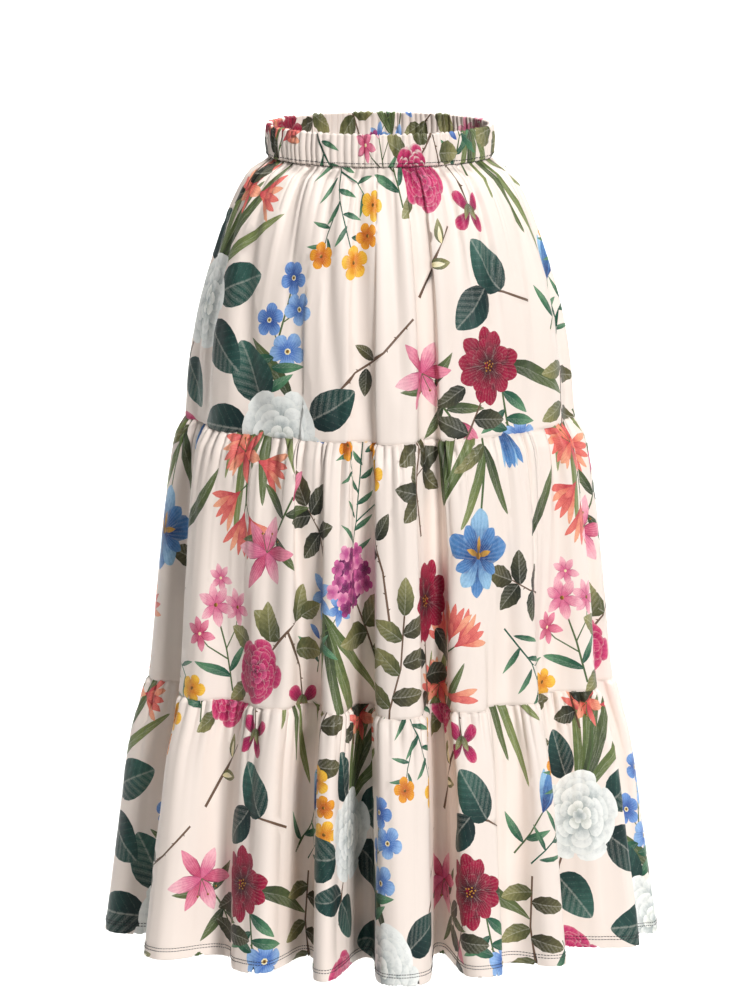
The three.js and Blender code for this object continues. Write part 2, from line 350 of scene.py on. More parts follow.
class Panel:
    """One front or back panel of a tier, with its flat cut and the way its cloth spreads."""

    def __init__(self, name, top, bottom, front, seed):
        self.kind = name[:5]
        self.top, self.bottom = top, bottom
        side = LEFT_SIDE_FOLD * STEERS_A_FOLD + LOBE_MIDDLE
        first, last = (LOBE_MIDDLE, side) if front else (side, STEERS + LOBE_MIDDLE)
        self.places, above = running_shares(top, first, last)
        _, below = running_shares(bottom, first, last)
        self.shares = (above / above[-1] + below / below[-1]) / 2
        self.width = float(below[-1])
        self.height = bottom - top
        self.has_hem = bottom == HEM
        self.top_pinch = WAIST_PINCH if self.kind == "tier1" else SEAM_PINCH
        self.allowance = 0.0 if self.kind == "tier1" else ALLOWANCE
        self.fine = gather_table(self.width, FINE_PITCH[self.kind], seed)
        self.swells = gather_table(self.width, SWELL_PITCH[self.kind], seed + 50)
        self.creases = CREASES[name]

    def point(self, across, down):
        """The middle of the cloth, `across` from the panel's left edge and `down` from its top seam."""
        place = np.interp(np.clip(1 - across / self.width, 0, 1), self.shares, self.places)
        drop = self.top + down
        turned = np.clip(drop - self.bottom, 0, None) if self.has_hem else np.zeros(len(drop))
        drop = drop - 2 * turned
        middle, along = section(place, drop)
        along = along + section(place - WAY_SPREAD, drop)[1] + section(place + WAY_SPREAD, drop)[1]
        out_way = outwards(unit(along))
        sizes = GATHERS[self.kind]
        below = np.clip(drop - self.top, 0, None)
        out = sizes["fine"] * gather_out(self.fine, across, below, sizes["fine_reach"])
        out += sizes["swell"] * gather_out(self.swells, across, below, sizes["swell_reach"])
        out += crease_out(self.creases, across, below, self.height)
        in_valley = np.exp(-((place % STEERS_A_FOLD - VALLEY_MIDDLE) / VALLEY_REACH)**2)
        limit = np.where(out > 0, CREST_LIMIT * (1 - VALLEY_LOSS * in_valley), TROUGH_LIMIT)
        out = limit * np.tanh(out / limit)
        out *= smooth_rise(np.minimum(across, self.width - across), SIDE_FLAT)
        above = np.clip(-down, 0, None)
        out *= np.clip(1 - above / ALLOWANCE, 0, 1)
        out -= self.top_pinch * np.exp(-(down / SEAM_PINCH_REACH)**2)
        if not self.has_hem:
            out -= SEAM_PINCH * np.exp(-((self.bottom - drop) / SEAM_PINCH_REACH)**2)
        out -= ALLOWANCE_INSET * np.clip(above / ALLOWANCE_STEPS_IN, 0, 1)
        out -= 2 * CLOTH * np.clip(turned / HEM_STEPS_IN, 0, 1)
        middle = middle + out_way * out[:, None]
        return np.column_stack((middle, -drop)), np.column_stack((out_way, np.zeros(len(drop))))

    def surface(self, across, down):
        return with_normals(self.point, across, down, -NORMAL_STEP)


def spaced(start, stop, step):
    return list(np.linspace(start, stop, max(2, int(math.ceil((stop - start) / step)) + 1)))


# Inks of the print, as screen colours: at the base, at the tip, strength of the veins, tone of the rim
INKS = {
    "rose out": ((140, 20, 74), (206, 58, 112), 0.5, 0.5),
    "rose mid": ((118, 14, 62), (196, 40, 100), 0.5, 0.6),
    "rose in": ((100, 10, 52), (216, 84, 132), 0.4, 0.5),
    "crimson out": ((82, 6, 30), (160, 20, 60), 0.7, 0.12),
    "crimson in": ((66, 4, 24), (138, 14, 50), 0.6, 0.3),
    "gold": ((176, 118, 30), (236, 196, 96), 0.0, 0.0),
    "white out": ((182, 188, 186), (244, 245, 241), 0.35, 0.3),
    "white mid": ((158, 168, 168), (238, 240, 236), 0.35, 0.4),
    "white in": ((190, 196, 188), (250, 250, 244), 0.3, 0.4),
    "teal leaf": ((24, 58, 54), (58, 98, 88), 0.8, -0.2),
    "teal dark": ((16, 42, 42), (36, 74, 68), 0.8, -0.1),
    "brown leaf": ((62, 60, 42), (98, 94, 60), 0.9, -0.25),
    "grey leaf": ((84, 88, 54), (146, 142, 92), 0.8, -0.25),
    "dark leaf": ((40, 44, 34), (78, 78, 56), 0.8, 0.1),
    "blade": ((86, 104, 58), (132, 142, 86), 0.7, -0.3),
    "blade dark": ((58, 70, 46), (96, 110, 66), 0.6, -0.2),
    "fine leaf": ((36, 86, 66), (92, 140, 102), 0.4, -0.1),
    "stem": ((112, 88, 72), (90, 74, 56), 0.0, 0.0),
    "green stem": ((80, 100, 60), (112, 132, 80), 0.0, 0.0),
    "iris": ((26, 58, 116), (84, 138, 196), 0.9, 0.25),
    "iris light": ((58, 108, 168), (156, 198, 228), 0.8, -0.2),
    "iris gold": ((116, 80, 32), (214, 160, 66), 0.5, 0.0),
    "sky": ((66, 112, 188), (150, 188, 234), 0.8, -0.2),
    "sky deep": ((46, 86, 162), (112, 154, 216), 0.8, 0.1),
    "coral": ((196, 58, 70), (236, 124, 112), 0.8, -0.25),
    "coral light": ((222, 92, 82), (246, 172, 138), 0.8, -0.2),
    "pink": ((196, 66, 108), (236, 144, 166), 0.9, -0.25),
    "pale pink": ((216, 98, 140), (248, 188, 198), 0.8, -0.2),
    "yellow": ((218, 128, 28), (250, 196, 66), 0.6, -0.15),
    "orange": ((198, 98, 26), (240, 162, 44), 0.6, -0.15),
    "floret": ((142, 46, 106), (216, 104, 162), 0.4, 0.2),
    "floret light": ((190, 78, 142), (244, 164, 196), 0.4, 0.1),
    "floret dark": ((104, 30, 84), (168, 62, 128), 0.4, 0.2),
    "cream": ((236, 222, 170), (250, 240, 210), 0.0, 0.0),
}
PETAL, LEAF, PLAIN = 1.0, 2.0, 3.0
GOLDEN_TURN = 2.39996


def outline(length, width, widest=0.6, fullness=0.6, bend=0.0, count=12, wave=0.0, teeth=0.0):
    """A petal or leaf from the origin along +x, as (x, y) points anticlockwise."""
    power = math.log(0.5) / math.log(widest)
    along = (1 - np.cos(np.linspace(0, math.pi, count))) / 2
    half = width / 2 * np.abs(np.sin(math.pi * along**power))**fullness
    half[0], half[-1] = 0, 0
    lower_half = half * (1 + wave * np.sin(along * 11))
    upper_half = half * (1 + wave * np.sin(along * 13 + 2))
    lower_half[1:-1:2] *= 1 - teeth
    upper_half[2:-1:2] *= 1 - teeth
    middle = bend * length * along**2
    lower = np.column_stack((along * length, middle - lower_half))
    upper = np.column_stack((along * length, middle + upper_half))[1:-1][::-1]
    return np.vstack((lower, upper))


def shape(points, ink, kind, length, half, bend=0.0):
    """A shape of one ink with its own frame: base, end of the long axis, half width and bend."""
    frame_points = np.array(((0.0, 0.0), (length, 0.0), (0.0, half)))
    return {"points": points, "frame": frame_points, "ink": ink, "kind": kind, "bend": bend * length / half}


def moved(shapes, x=0.0, y=0.0, turn=0.0, size=1.0, flip=False):
    """The shapes turned by an angle in degrees, sized, mirrored and set down at (x, y)."""
    angle = math.radians(turn)
    turned = np.array(((math.cos(angle), math.sin(angle)), (-math.sin(angle), math.cos(angle))))
    mirror = np.array((1.0, -1.0 if flip else 1.0))
    out = []
    for one in shapes:
        points = one["points"] * mirror * size @ turned + (x, y)
        out.append({**one, "points": points[::-1] if flip else points,
                    "frame": one["frame"] * mirror * size @ turned + (x, y)})
    return out


def far_point(turn, far, x=0.0, y=0.0):
    """The point that lies `far` from (x, y), at an angle in degrees."""
    way = math.radians(turn)
    return x + far * math.cos(way), y + far * math.sin(way)


def petal(length, width, ink, widest=0.62, fullness=0.55, bend=0.0, count=9, wave=0.0):
    points = outline(length, width, widest, fullness, bend, count, wave)
    return [shape(points, ink, PETAL, length, width / 2, bend)]


def leaf(length, width, ink, bend=0.0, widest=0.42, fullness=0.85, teeth=0.0, count=10):
    points = outline(length, width, widest, fullness, bend, count, 0.0, teeth)
    return [shape(points, ink, LEAF, length, width / 2, bend)]


def jagged(length, width, ink):
    """A rose leaf with a toothed edge."""
    return leaf(length, width, ink, 0.06, 0.42, 0.75, 0.09, 13)


def placed(made_of, length, width, ink, places, *form, **more):
    """Leaves or petals of one kind: across, up and turn, then size and ink where they differ."""
    made = []
    for x, y, turn, *own in places:
        size = own[0] if own else 1
        one_ink = own[1] if len(own) > 1 else ink
        made += moved(made_of(length * size, width * size, one_ink, *form, **more), x, y, turn)
    return made


def long_leaves(x, y, rows, *form, **more):
    """Long narrow leaves from one point: turn, length, bend and ink."""
    made = []
    for turn, length, bend, ink in rows:
        made += moved(leaf(length, 15, ink, bend, *form, **more), x, y, turn)
    return made


def stem(points, width, ink="green stem", thorns=0):
    """A stalk along a line of points, a little thinner at its end."""
    line = np.array(points, dtype=float)
    steps = np.diff(line, axis=0)
    ways = unit(np.vstack((steps[:1], steps[:-1] + steps[1:], steps[-1:])))
    sides = np.column_stack((-ways[:, 1], ways[:, 0]))
    half = (width / 2 * np.linspace(1, 0.7, len(line)))[:, None]
    length = float(np.linalg.norm(line[-1] - line[0]))
    made = [shape(np.vstack((line - sides * half, (line + sides * half)[::-1])), ink, PLAIN, length, width)]
    for number in range(thorns):
        share = (number + 0.7) / thorns * (len(line) - 1)
        at = min(int(share), len(line) - 2)
        spot = line[at] + (line[at + 1] - line[at]) * (share - at)
        lean = math.degrees(math.atan2(ways[at, 1], ways[at, 0])) + (62 if number % 2 else -62)
        made += moved(petal(3.8, 1.9, ink, 0.3, 1.0, count=4), *spot, lean)
    return made


def wood(points, width, thorns=0):
    return stem(points, width, "stem", thorns)


def dot(radius, ink, count=7):
    angles = np.linspace(0, 2 * math.pi, count, endpoint=False)
    points = radius * np.column_stack((np.cos(angles), np.sin(angles)))
    return [shape(points, ink, PLAIN, radius, radius)]


def ring(petals, start, length, width, ink, first=0.0, uneven=0.0, **form):
    """Petals round a middle, from `start` outwards; `uneven` also varies their reach and spacing."""
    made = []
    for number in range(petals):
        turn = first + 360 * number / petals + uneven * math.sin(number * 2.4 + first)
        grow = 1 + 0.014 * uneven * math.sin(number * 4.1 + 1 + first)
        lean = 1.5 * uneven * math.sin(number * 5.3)
        made += moved(petal(length * grow, width, ink, **form), *far_point(turn, start), turn + lean)
    return made


def packed_flower(r, inks, layers):
    """A full flower: a filled middle and rings of rounded petals, each ring over the one outside it.
    A layer has its petals, start, length, width and the number of its ink."""
    made = dot(0.62 * r, inks[1], 14)
    for number, (petals, start, length, width, ink) in enumerate(layers):
        made += ring(petals, start * r, length * r, width * r, inks[ink], 17 * number, 8,
                     widest=0.64, fullness=0.45, count=9 if number < 3 else 7, wave=0.03)
    return made


def rose(r):
    return packed_flower(r, ("rose out", "rose mid", "rose in"), (
        (8, 0.42, 0.58, 0.74, 0), (8, 0.36, 0.48, 0.56, 1), (8, 0.26, 0.44, 0.46, 0),
        (7, 0.16, 0.38, 0.38, 1), (6, 0.08, 0.32, 0.30, 2), (5, 0.02, 0.22, 0.20, 1), (3, 0, 0.13, 0.12, 2)))


def camellia(r):
    return packed_flower(r, ("white out", "white mid", "white in"), (
        (8, 0.44, 0.58, 0.76, 0), (8, 0.34, 0.5, 0.58, 1), (7, 0.24, 0.44, 0.5, 0),
        (6, 0.14, 0.38, 0.38, 1), (5, 0.04, 0.3, 0.28, 2), (4, 0, 0.18, 0.17, 1)))


def crimson_flower(r):
    """A wide crimson flower with many petals and a gold middle."""
    made = dot(0.5 * r, "crimson in", 12)
    made += ring(10, 0.3 * r, 0.7 * r, 0.5 * r, "crimson out", 4, 7, widest=0.56, fullness=0.62)
    made += ring(9, 0.2 * r, 0.6 * r, 0.42 * r, "crimson out", 24, 8, widest=0.56, fullness=0.62)
    made += ring(8, 0.10 * r, 0.46 * r, 0.32 * r, "crimson in", 8, 9, widest=0.58, fullness=0.65, count=8)
    made += dot(0.13 * r, "crimson in", 8)
    for number in range(11):
        way = number * GOLDEN_TURN
        far = 0.05 * r * math.sqrt(number)
        made += moved(dot(0.026 * r, "gold", 5), far * math.cos(way), far * math.sin(way))
    return made


def star(radius, petals, width, ink, middle="cream", middle_size=0.1, **form):
    form = {"widest": 0.5, "fullness": 0.8, "count": 8, **form}
    made = ring(petals, 0.02 * radius, 0.98 * radius, width * radius, ink, 90, 5, **form)
    return made + dot(middle_size * radius, middle)


def round_star(radius, ink, middle, middle_size, wave):
    return star(radius, 5, 0.84, ink, middle, middle_size, widest=0.64, fullness=0.55, wave=wave)


def rose_spray():
    """A rose on a thorny stem with toothed leaves in threes."""
    made = wood(((2, -172), (-5, -120), (3, -70), (0, -20)), 3.6, 11)
    for x, y, turn, size in ((-4, -128, 160, 1.0), (-2, -104, 18, 1.1),
                             (2, -74, 150, 1.1), (3, -56, 32, 0.9)):
        made += wood(((x, y), far_point(turn, 22, x, y)), 1.8)
        for swing in (-62, 0, 58):
            ink = "brown leaf" if swing else "dark leaf"
            made += moved(jagged(38 * size, 24 * size, ink), *far_point(turn, 17, x, y), turn + swing)
    made += placed(jagged, 34, 17, "dark leaf", [(0, -10, turn) for turn in (200, 246, 300, 338)])
    return made + moved(rose(36), 0, 10)


def rose_pair():
    """A rose and a bud with leaves on a short stem."""
    made = wood(((60, -74), (34, -50), (6, -10)), 3.2, 5)
    made += wood(((34, -50), (58, -12), (66, 24)), 2.4, 4)
    made += placed(jagged, 42, 26, "grey leaf", (
        (46, -60, 280), (50, -30, 350), (26, -40, 205, 1.1), (56, -66, 322, 0.8),
        (12, -34, 250), (-16, -22, 196, 0.9), (-20, 20, 130, 0.8)))
    made += moved(ring(4, 0, 26, 15, "rose mid", 66, 0, count=8), 66, 26, -22)
    return made + placed(leaf, 18, 7, "grey leaf", ((65, 18, 62), (65, 18, 112))) + rose(34)


def camellia_spray():
    """A camellia among wide dark leaves."""
    made = wood(((-12, -104), (0, -66), (4, -30)), 3.4)
    made += placed(leaf, 66, 47, "teal leaf", (
        (-34, 30, 128, 1.1), (-44, -6, 190, 1.1, "teal dark"), (36, -34, -30, 1.15), (-4, -78, 202, 0.95),
        (34, 34, 44, 0.9, "teal dark"), (0, -70, -34, 0.8, "teal dark")), 0.1, 0.4, 0.66, 0.0, 12)
    return made + camellia(54)


def crimson_spray():
    made = wood(((30, -122), (16, -80), (4, -36)), 3.4, 2)
    made += placed(jagged, 48, 26, "dark leaf", (
        (18, -84, 12), (12, -66, 172), (24, -104, 200, 0.8), (30, -30, -42, 0.9)))
    return made + crimson_flower(46)


def lily(radius, ink, light):
    """Six pointed petals, three in front of three, and thin stamens."""
    made = ring(3, 0, radius, 0.38 * radius, ink, 30, 6, widest=0.46, fullness=0.85, wave=0.05)
    made += ring(3, 0, 0.96 * radius, 0.44 * radius, light, 90, 6, widest=0.48, fullness=0.8, wave=0.05)
    for turn in (60, 95, 130):
        tip = far_point(turn, 0.5 * radius)
        made += stem(((0, 0), tip), 0.9) + moved(dot(1.6, "iris gold", 5), *tip)
    return made


def trumpet(length, ink, light):
    """A lily seen from the side."""
    made = []
    for turn, part in ((-27, ink), (25, light), (-13, light), (12, ink), (0, ink)):
        made += moved(petal(length, length * 0.2, part, 0.62, 0.75, bend=0.005 * turn), 0, 0, turn)
    return made + moved(petal(length * 0.6, length * 0.2, ink, 0.6, 0.7), -length * 0.1, 0, 0)


def lily_spray():
    """Coral lilies hanging from a stalk, between long blades."""
    made = long_leaves(0, 74, (
        (-104, 220, 0.06, "blade"), (-84, 170, -0.06, "blade dark"), (-120, 150, 0.14, "blade"),
        (-70, 150, 0.1, "blade"), (-94, 130, 0, "blade dark")), 0.45, 0.55, count=11)
    made += stem(((0, 74), (-4, 10), (-18, -56), (-20, -96)), 3.4)
    for x, y, turn in ((-6, -14, -150), (-14, -40, -24), (-17, -72, -146),
                       (-20, -92, -62), (-19, -88, -104)):
        tip = far_point(turn, 19, x, y)
        made += stem(((x, y), tip), 1.8) + moved(trumpet(46, "coral", "coral light"), *tip, turn)
    return made + moved(lily(32, "coral", "coral light"), -24, -38, 20)


def pink_lily():
    """A wide pink lily with a bud and dark narrow leaves."""
    made = stem(((12, 74), (7, 36), (0, 0)), 2.8)
    made += placed(leaf, 50, 13, "blade dark", ((9, 46, 150), (10, 52, 26), (4, 18, 200), (5, 22, 330)), 0.1)
    return made + moved(petal(42, 16, "pink", 0.5, 0.8), 14, 70, 72) + lily(44, "pink", "pale pink")


def iris():
    """A blue iris with gold throats on its hanging petals."""
    made = stem(((6, -138), (2, -74), (0, -12)), 4.2)
    made += long_leaves(5, -120, (
        (104, 100, 0.12, "blade"), (66, 84, -0.12, "blade dark"), (140, 60, 0.1, "grey leaf")), 0.4, 0.6)
    for turn, length, width, ink in (
            (90, 46, 26, "iris"), (56, 42, 22, "iris light"), (124, 42, 22, "iris light"),
            (28, 36, 15, "iris"), (152, 38, 15, "iris"), (196, 50, 28, "iris"),
            (-16, 50, 28, "iris"), (-90, 52, 32, "iris light"),
            (232, 40, 20, "iris"), (-52, 40, 20, "iris")):
        made += moved(petal(length, width, ink, 0.62, 0.65, wave=0.09, count=13), 0, 0, turn)
    throats = [(0, 0, turn) for turn in (196, -16, -90)]
    return made + placed(petal, 22, 7, "iris gold", throats, 0.5, 0.9, count=7) + dot(4.5, "iris gold")


def blue_bell():
    """A hanging blue bud on a thin stem."""
    made = stem(((-14, 66), (-5, 34), (0, 4)), 2.2)
    for turn, ink in ((-108, "iris light"), (-74, "iris"), (-98, "iris"), (-84, "iris light"), (-91, "iris")):
        made += moved(petal(50, 11, ink, 0.6, 0.8), 0, 6, turn)
    made += moved(leaf(44, 10, "fine leaf", 0.12), -9, 50, 204)
    return made + moved(leaf(34, 9, "fine leaf", -0.1), -8, 44, 320)


def star_cluster():
    """Pale pink stars on a branching stalk."""
    made = stem(((0, -96), (2, -48), (0, -8)), 2.4)
    made += stem(((2, -48), (22, -28), (30, -10)), 1.7) + stem(((1, -60), (-18, -40), (-26, -26)), 1.7)
    made += moved(leaf(48, 11, "fine leaf", 0.1), 1, -80, 140)
    made += moved(leaf(42, 10, "fine leaf", -0.1), 1, -74, 44)
    for radius, ink, middle, x, y in (
            (22, "pale pink", "iris gold", 30, -6), (20, "pink", "cream", -26, -24),
            (17, "pale pink", "cream", 12, 30), (25, "pale pink", "iris gold", 0, 2)):
        made += moved(star(radius, 6, 0.5, ink, middle), x, y)
    return made


def blue_stars():
    """Two light-blue stars and a bud with narrow leaves."""
    made = stem(((-8, -84), (0, -40), (0, 0)), 2.2) + stem(((0, -40), (26, -22), (38, -2)), 1.7)
    made += placed(leaf, 44, 10, "fine leaf", ((-6, -72, 140), (-4, -60, 40), (4, -36, -30)), 0.12)
    made += moved(star(20, 6, 0.52, "sky"), 38, 2) + moved(petal(24, 10, "sky deep", 0.5, 0.8), -4, -44, 150)
    return made + moved(star(28, 6, 0.5, "sky"), 0, 8)


def primroses():
    """Round five-petalled blue flowers up a stalk."""
    made = stem(((0, -132), (4, -66), (0, 0), (-4, 40)), 2.8)
    for x, y, size, ink in ((-4, 38, 20, "sky deep"), (18, 6, 21, "sky"), (-18, -18, 20, "sky deep"),
                            (18, -46, 23, "sky")):
        made += stem(((2, y - 20), (x, y)), 1.7)
        made += moved(round_star(size, ink, "cream", 0.17, 0.07), x, y, x * 3)
        made += moved(dot(0.1 * size, "iris gold", 6), x, y)
    leaves = ((3, -80, 150), (3, -100, 40), (3, -58, 204), (3, -70, 12))
    return made + placed(leaf, 42, 13, "fine leaf", leaves, 0.1)


def yellow_spray():
    """Small yellow flowers among thin narrow leaves."""
    made = stem(((-4, -100), (4, -50), (0, 0), (-6, 44)), 2.0, "fine leaf")
    made += stem(((4, -50), (30, -24), (42, 6)), 1.6, "fine leaf")
    made += stem(((2, -20), (-28, 4), (-40, 18)), 1.6, "fine leaf")
    for number in range(9):
        y = -88 + 14 * number
        turn = 146 if number % 2 else 36
        made += moved(leaf(38 - 1.6 * number, 6.4, "fine leaf", 0.14, count=7), 1, y, turn)
    made += placed(leaf, 26, 5.4, "fine leaf", (
        (30, -22, 4), (36, -8, 118), (-22, 0, 214), (-30, 8, 96), (-34, 14, 196)), 0.14, count=6)
    for x, y, size, ink in ((-7, 50, 18, "yellow"), (44, 10, 17, "yellow"),
                            (-44, 22, 15, "orange"), (22, 34, 15, "orange")):
        made += moved(round_star(size, ink, "iris gold", 0.14, 0.06), x, y, x * 2)
    return made


def hydrangea():
    """A round head of many small four-petalled florets."""
    made = wood(((4, -112), (2, -60), (0, -24)), 3.4)
    made += placed(jagged, 54, 34, "grey leaf", ((2, -66, 24), (2, -76, 160), (3, -96, 330)))
    inks = ("floret", "floret light", "floret dark")
    made += moved(dot(34, "floret dark", 12), 0, 0)
    for number in range(21):
        way = number * GOLDEN_TURN
        far = 8.8 * math.sqrt(number + 0.4)
        tone = inks[(number * 7 + number // 3) % 3]
        made += moved(ring(4, 0.0, 10.4, 10.0, tone, 20, 0, widest=0.6, fullness=0.5, count=5),
                      far * math.cos(way), far * 0.86 * math.sin(way), number * 37)
    return made


def blades():
    """Long narrow leaves that spring from one point."""
    return long_leaves(0, -90, ((84, 200, 0.05, "blade"), (98, 160, -0.08, "blade dark"),
                                (70, 150, -0.12, "blade"), (110, 110, 0.1, "blade")), 0.45, 0.5, count=11)


def leafy_branch():
    """A branch of pointed leaves in two tones."""
    places = ((-54, -46, 112), (-44, -38, -50), (-18, -16, 98), (-8, -10, -42), (18, 2, 92), (30, 8, -32),
              (48, 28, 104), (54, 32, -24), (70, 46, 40))
    return wood(((-70, -58), (-20, -18), (24, 6), (70, 46)), 2.8) + placed(
        jagged, 44, 23, "", [(*place, 1, ("grey leaf", "brown leaf")[number % 2])
                             for number, place in enumerate(places)])


def rose_leaves():
    """A sprig of five toothed leaves."""
    return wood(((0, -50), (4, -16), (0, 14)), 2.4, 4) + placed(jagged, 42, 26, "dark leaf", (
        (1, 14, 88, 1.1, "brown leaf"), (2, 4, 20), (1, 2, 158), (3, -20, -18, 0.9), (3, -22, 196, 0.9)))


def twig():
    """A bare cut stem with thorns and two small leaves."""
    made = wood(((-4, -80), (3, -26), (-2, 24), (4, 76)), 2.8, 9)
    made += moved(leaf(34, 18, "dark leaf", 0.1), 2, 10, 36)
    return made + moved(leaf(30, 15, "brown leaf", 0.1), 0, -8, 152)


def pods():
    """A cut stalk with two open pods."""
    made = wood(((-34, -30), (-6, -4), (30, 34)), 4.0)
    for x, y, turn in ((-4, -2, 84), (16, 18, -6)):
        made += moved(leaf(26, 13, "grey leaf", 0.2) + leaf(18, 6, "cream", 0.2), x, y, turn)
    return made


def curved_leaf():
    return moved(leaf(90, 18, "blade dark", 0.3, 0.45, 0.7, count=12), -42, 0, -16)


def teal_leaves():
    """Two wide dark leaves on a short stalk."""
    made = wood(((-46, -32), (-8, -6), (26, 12)), 3.2)
    made += moved(leaf(70, 48, "teal leaf", 0.08, 0.4, 0.66, 0.0, 12), -6, -4, 70)
    return made + moved(leaf(62, 42, "teal dark", 0.08, 0.4, 0.66, 0.0, 12), 18, 8, -34)


# The repeat of the print, laid out one by one: motif, across and up in mm, turn in degrees, size, mirrored
REPEAT_WIDTH, REPEAT_HEIGHT = 700.0, 640.0
MOTIF_REACH = 200
REPEAT = (
    (blades, 198, 506, -16, 1.0, False),
    (blades, 618, 232, 18, 0.9, True),
    (lily_spray, 452, 512, 4, 1.0, False),
    (lily_spray, 152, 176, -30, 0.95, True),
    (twig, 20, 380, 16, 1.0, False),
    (twig, 372, 44, -52, 0.9, True),
    (curved_leaf, 352, 412, 50, 1.0, False),
    (curved_leaf, 600, 16, -24, 1.1, True),
    (curved_leaf, 250, 28, 130, 0.9, False),
    (teal_leaves, 556, 116, 196, 0.95, True),
    (leafy_branch, 40, 232, 44, 0.95, False),
    (leafy_branch, 648, 600, -56, 0.9, True),
    (rose_leaves, 556, 408, 30, 1.0, False),
    (rose_leaves, 300, 330, -110, 0.9, True),
    (pods, 352, 558, 10, 1.0, False),
    (pods, 470, 150, 100, 1.0, True),
    (blue_bell, 298, 500, 8, 1.0, False),
    (blue_bell, 676, 118, -26, 1.0, True),
    (blue_stars, 580, 316, -8, 1.0, False),
    (blue_stars, 20, 540, 20, 0.9, True),
    (star_cluster, 398, 300, 14, 1.0, False),
    (primroses, 566, 546, 8, 1.0, True),
    (primroses, 262, 96, -14, 0.9, False),
    (yellow_spray, 664, 456, -12, 1.05, False),
    (yellow_spray, 330, 196, 30, 1.0, True),
    (yellow_spray, 16, 122, -40, 0.9, False),
    (pink_lily, 476, 366, -22, 1.0, False),
    (pink_lily, 446, 30, 30, 0.95, True),
    (iris, 232, 366, -8, 1.0, True),
    (hydrangea, 640, 344, 24, 0.95, False),
    (crimson_spray, 120, 316, -10, 1.0, False),
    (crimson_spray, 534, 36, 170, 0.9, True),
    (rose_pair, 470, 236, -8, 1.05, True),
    (rose_spray, 96, 560, 4, 1.0, False),
    (camellia_spray, 262, 596, -16, 1.0, False),
    (camellia_spray, 116, 92, 156, 0.95, True),
)


def print_over(width, low, high, shift_x, shift_y):
    """All motifs of the repeat that touch a piece of flat cloth from (0, low) to (width, high)."""
    made = []
    for motif, x, y, turn, size, flip in REPEAT:
        shapes = motif()
        first_x = math.floor((-MOTIF_REACH - x + shift_x) / REPEAT_WIDTH)
        for column in range(first_x, first_x + int(width / REPEAT_WIDTH) + 3):
            for row in range(-3, 4):
                at_x = x - shift_x + column * REPEAT_WIDTH
                at_y = y - shift_y + row * REPEAT_HEIGHT
                if (-MOTIF_REACH < at_x < width + MOTIF_REACH
                        and low - MOTIF_REACH < at_y < high + MOTIF_REACH):
                    made += moved(shapes, at_x, at_y, turn, size, flip)
    kept = []
    for one in made:
        lowest, highest = one["points"].min(axis=0), one["points"].max(axis=0)
        if highest[0] > 0 and lowest[0] < width and highest[1] > low and lowest[1] < high:
            kept.append(one)
    return kept


def screen_to_light(values):
    """Screen colours of 0 to 255 as linear light."""
    share = np.array(values, dtype=float) / 255
    return np.where(share <= 0.04045, share / 12.92, ((share + 0.055) / 1.055)**2.4)


def inside_outline(places, points):
    """Whether each place lies inside a closed outline."""
    x, y = places[:, :1], places[:, 1:]
    ahead = np.roll(points, -1, axis=0)
    rise = ahead[:, 1] - points[:, 1]
    rise = np.where(rise == 0, 1e-9, rise)
    crossed = (points[:, 1] > y) != (ahead[:, 1] > y)
    to_left = x < points[:, 0] + (y - points[:, 1]) * (ahead[:, 0] - points[:, 0]) / rise
    return (crossed & to_left).sum(axis=1) % 2 == 1


def flat_mesh(cuts, low, high, columns, rows):
    """Flat cloth cut into triangles along the edges of its print, and the number of the shape on each.
    `cuts` holds a left edge, a right edge and the shapes on the cloth between them."""
    points, faces, cut_of = [], [], []
    for number, (left, right, _) in enumerate(cuts):
        faces.append([len(points) + corner for corner in range(4)])
        points.extend([(left, low), (right, low), (right, high), (left, high)])
        cut_of.append(number)
    for number, (_, _, shapes) in enumerate(cuts):
        for one in shapes:
            faces.append(list(range(len(points), len(points) + len(one["points"]))))
            points.extend(map(tuple, one["points"]))
            cut_of.append(number)
    grid_x, grid_y = np.meshgrid(columns, rows)
    points.extend(zip(grid_x.ravel(), grid_y.ravel()))
    found = delaunay_2d_cdt([Vector(p) for p in points], [], faces, 0, 1e-6, True)
    flat = np.array([(v[0], v[1]) for v in found[0]])
    inside = [number for number, of in enumerate(found[5]) if any(one < len(cuts) for one in of)]
    triangles = np.array([found[2][number] for number in inside])
    centres = flat[triangles].mean(axis=1)
    under = [[] for _ in faces]
    for number, triangle in enumerate(inside):
        for one in found[5][triangle]:
            under[one].append(number)
    top_shape = np.full(len(triangles), -1)
    cut_under = np.zeros(len(triangles), dtype=int)
    for one, numbers in enumerate(under):
        numbers = np.array(numbers, dtype=int)
        if one < len(cuts):
            cut_under[numbers] = one
            continue
        numbers = numbers[cut_under[numbers] == cut_of[one]]
        edge = np.array([points[corner] for corner in faces[one]])
        numbers = numbers[inside_outline(centres[numbers], edge)]
        top_shape[numbers] = one - len(cuts)
    used = np.unique(triangles)
    renumber = np.full(len(flat), -1)
    renumber[used] = np.arange(len(used))
    return flat[used], renumber[triangles], top_shape


def ink_tables(shapes):
    """Colours and frames of the shapes as arrays; the last row is the bare ground."""
    inner, outer, origin, long_way, wide_way, kinds, bends = tables = [[] for _ in range(7)]
    for one in shapes:
        base, tip, vein, tone = INKS[one["ink"]]
        inner.append((*screen_to_light(base), vein))
        outer.append((*screen_to_light(tip), tone / 2 + 0.5))
        start, end, side = one["frame"]
        origin.append(start)
        long_way.append((end - start) / ((end - start) ** 2).sum())
        wide_way.append((side - start) / ((side - start) ** 2).sum())
        kinds.append(one["kind"])
        bends.append(one["bend"])
    ground = tuple(screen_to_light(GROUND))
    for rows, bare in zip(tables, ((*ground, 0.0), (*ground, 0.5), (0, 0), (0, 0), (0, 0), 0, 0)):
        rows.append(bare)
    return [np.array(rows, dtype=float) for rows in tables]


